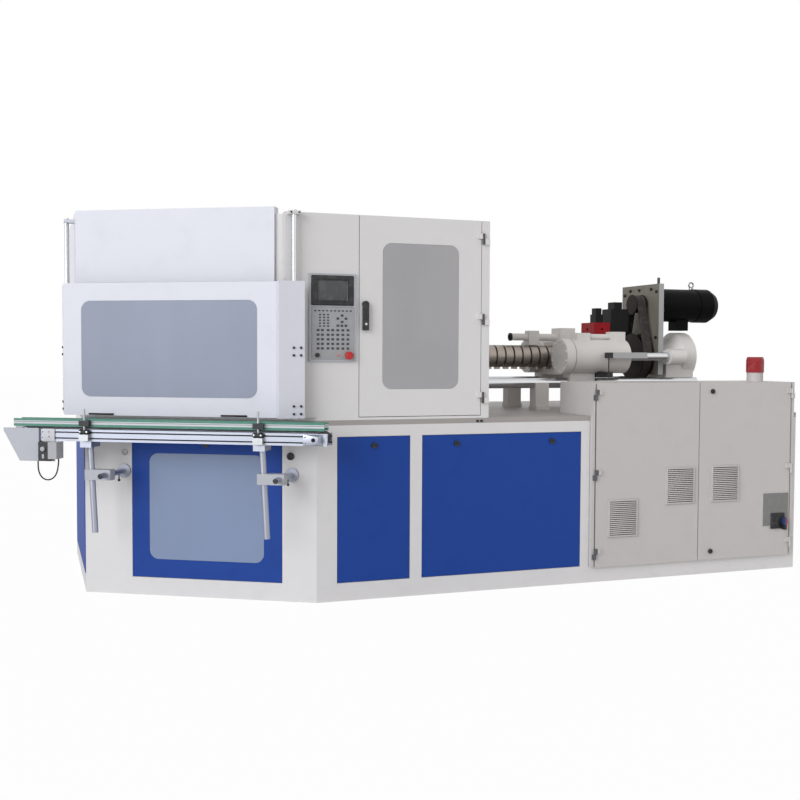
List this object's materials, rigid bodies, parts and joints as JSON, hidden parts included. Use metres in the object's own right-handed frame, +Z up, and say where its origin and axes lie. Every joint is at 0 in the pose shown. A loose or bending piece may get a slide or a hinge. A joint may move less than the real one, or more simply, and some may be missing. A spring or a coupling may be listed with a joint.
{
  "type": "injection blow molding machine",
  "caption": "Rotary injection blow moulding machine with a hooded turret, sliding gate, screw injection unit, control cabinet and take-off conveyor.",
  "frame": {"origin": "turret axis on the floor", "axes": "+X along the injection unit, +Y to the back, +Z up"},
  "size_m": [5.006, 2.3049, 2.25],
  "materials": {
    "white_sheet": "satin powder coat",
    "table_grey": "satin paint",
    "blue_panel": "satin powder coat",
    "frosted_pane": "frosted sheet",
    "black_plastic": "moulded",
    "tank_paint": "paint",
    "chrome_rod": "hard chrome",
    "unit_grey": "moulded",
    "red_plastic": "gloss",
    "machined_steel": "machined",
    "brass_rod": "polished",
    "cast_white": "casting paint",
    "band_steel": "heat tinted",
    "dark_pulley": "oiled",
    "belt_rubber": "moulded rubber",
    "red_paint": "paint",
    "cabinet_grey": "textured powder coat",
    "profile_aluminium": "anodised",
    "green_rail": "extruded plastic",
    "motor_black": "paint"
  },
  "bodies": {
    "machine": {"base_shell": "white_sheet", "table_plate": "table_grey", "front_panels": "blue_panel", "eject_panel": "blue_panel", "eject_window": "frosted_pane", "hydraulic_unit": "tank_paint", "hood_shell": "white_sheet", "upper_box": "white_sheet", "guide_rods": "chrome_rod", "control_unit": "unit_grey", "mould_frames": "machined_steel", "guide_shafts": "chrome_rod", "saddles": "cast_white", "cabinet_body": "cabinet_grey", "beacon_dome": "red_plastic", "arms": "profile_aluminium"},
    "gate": {"gate_panel": "white_sheet", "gate_window": "frosted_pane", "gate_bearings": "machined_steel"},
    "hood_door": {"hood_door": "white_sheet", "hood_window": "frosted_pane"},
    "hood_lock": {"hood_lock": "black_plastic"},
    "e_stop": {"e_stop": "red_plastic"},
    "left_door": {"left_door": "cabinet_grey"},
    "right_door": {"right_door": "cabinet_grey"},
    "isolator": {"isolator": "black_plastic"},
    "lock_small": {"lock_small": "black_plastic"},
    "lock_large_left": {"lock_large_left": "black_plastic"},
    "lock_large_right": {"lock_large_right": "black_plastic"},
    "lock_eject": {"lock_eject": "black_plastic"},
    "turret_shaft": {"turret_shaft": "chrome_rod"},
    "turret": {"turret_head": "machined_steel", "core_rods": "brass_rod"},
    "injection_clamp": {"injection_clamp": "machined_steel"},
    "blow_clamp": {"blow_clamp": "machined_steel"},
    "stripper": {"stripper": "machined_steel"},
    "carriage": {"barrel": "machined_steel", "heater_bands": "band_steel", "feed_block": "cast_white", "cylinders": "cast_white", "manifold": "red_paint", "transducer": "unit_grey"},
    "crosshead": {"piston_rods": "chrome_rod", "crosshead": "cast_white", "motor_plate": "machined_steel", "motor": "motor_black", "drive_belt": "belt_rubber"},
    "screw": {"screw": "machined_steel", "large_pulley": "dark_pulley"},
    "motor_pulley": {"motor_pulley": "dark_pulley"},
    "clamps": {"cross_clamps": "unit_grey"},
    "conveyor": {"conveyor_beam": "profile_aluminium", "slat_belt": "belt_rubber", "drive_cover": "cast_white", "gearmotor": "unit_grey", "guide_rails": "green_rail", "posts": "profile_aluminium", "drive_cable": "belt_rubber"},
    "drive_roller": {"drive_roller": "profile_aluminium"},
    "tail_roller": {"tail_roller": "belt_rubber"}
  },
  "joints": [
    {"name": "gate_lift", "type": "slide", "parent": "machine", "child": "gate", "axis": [0, 0, 1], "range_m": [0, 0.4]},
    {"name": "hood_door_swing", "type": "hinge", "parent": "machine", "child": "hood_door", "pos_m": [1.418, -1.0085, 1.6], "axis": [0, 0, 1], "range_deg": [0, 100]},
    {"name": "hood_lock_turn", "type": "hinge", "parent": "hood_door", "child": "hood_lock", "pos_m": [0.683, -1, 1.705], "axis": [0, -1, 0], "range_deg": [0, 90]},
    {"name": "e_stop_press", "type": "slide", "parent": "machine", "child": "e_stop", "axis": [0, 1, 0], "range_m": [0, 0.006]},
    {"name": "left_door_swing", "type": "hinge", "parent": "machine", "child": "left_door", "pos_m": [2.172, -1.0385, 0.67], "axis": [0, 0, -1], "range_deg": [0, 120]},
    {"name": "right_door_swing", "type": "hinge", "parent": "machine", "child": "right_door", "pos_m": [3.642, -1.0385, 0.67], "axis": [0, 0, 1], "range_deg": [0, 120]},
    {"name": "isolator_turn", "type": "hinge", "parent": "right_door", "child": "isolator", "pos_m": [3.581, -1.03, 0.322], "axis": [0, 1, 0], "range_deg": [0, 90]},
    {"name": "lock_small_turn", "type": "hinge", "parent": "machine", "child": "lock_small", "pos_m": [0.7415, -1, 0.893], "axis": [0, 1, 0], "range_deg": [0, 90]},
    {"name": "lock_large_left_turn", "type": "hinge", "parent": "machine", "child": "lock_large_left", "pos_m": [1.255, -1, 0.893], "axis": [0, 1, 0], "range_deg": [0, 90]},
    {"name": "lock_large_right_turn", "type": "hinge", "parent": "machine", "child": "lock_large_right", "pos_m": [1.885, -1, 0.893], "axis": [0, 1, 0], "range_deg": [0, 90]},
    {"name": "lock_eject_turn", "type": "hinge", "parent": "machine", "child": "lock_eject", "pos_m": [-0.17365, -0.66877, 0.893], "axis": [0.5, 0.866, 0], "range_deg": [0, 90]},
    {"name": "turret_lower", "type": "slide", "parent": "machine", "child": "turret_shaft", "axis": [0, 0, -1], "range_m": [0, 0.04]},
    {"name": "turret_index", "type": "hinge", "parent": "turret_shaft", "child": "turret", "pos_m": [0, 0, 1.45], "axis": [0, 0, 1], "range_deg": [0, 240]},
    {"name": "mould_close", "type": "slide", "parent": "machine", "child": "injection_clamp", "axis": [0, 0, -1], "range_m": [0, 0.1595]},
    {"name": "blow_close", "type": "slide", "parent": "machine", "child": "blow_clamp", "axis": [0, 0, -1], "range_m": [0, 0.1595]},
    {"name": "strip", "type": "slide", "parent": "machine", "child": "stripper", "axis": [-0.5, -0.866, 0], "range_m": [0, 0.15]},
    {"name": "carriage_slide", "type": "slide", "parent": "machine", "child": "carriage", "axis": [1, 0, 0], "range_m": [0, 0.1]},
    {"name": "injection_stroke", "type": "slide", "parent": "carriage", "child": "crosshead", "axis": [1, 0, 0], "range_m": [0, 0.12]},
    {"name": "screw_turn", "type": "hinge", "parent": "crosshead", "child": "screw", "pos_m": [3, 0, 1.41], "axis": [1, 0, 0], "continuous": true},
    {"name": "motor_turn", "type": "hinge", "parent": "crosshead", "child": "motor_pulley", "pos_m": [3, 0, 1.79], "axis": [1, 0, 0], "continuous": true},
    {"name": "conveyor_reach", "type": "slide", "parent": "machine", "child": "clamps", "axis": [-0.5, -0.866, 0], "range_m": [-0.04, 0.04]},
    {"name": "conveyor_height", "type": "slide", "parent": "clamps", "child": "conveyor", "axis": [-0.0453, 0.0262, 0.9986], "range_m": [-0.06, 0]},
    {"name": "drive_roller_turn", "type": "hinge", "parent": "conveyor", "child": "drive_roller", "pos_m": [-1.13582, -0.3673, 0.965], "axis": [-0.5, -0.866, 0], "continuous": true},
    {"name": "tail_roller_turn", "type": "hinge", "parent": "conveyor", "child": "tail_roller", "pos_m": [0.37106, -1.2373, 0.965], "axis": [-0.5, -0.866, 0], "continuous": true}
  ],
  "couplings": [
    {"joint": "turret_lower", "follows": "mould_close", "ratio": 0.25},
    {"joint": "blow_close", "follows": "mould_close", "ratio": 1},
    {"joint": "motor_turn", "follows": "screw_turn", "ratio": 2.4615},
    {"joint": "tail_roller_turn", "follows": "drive_roller_turn", "ratio": 1}
  ]
}
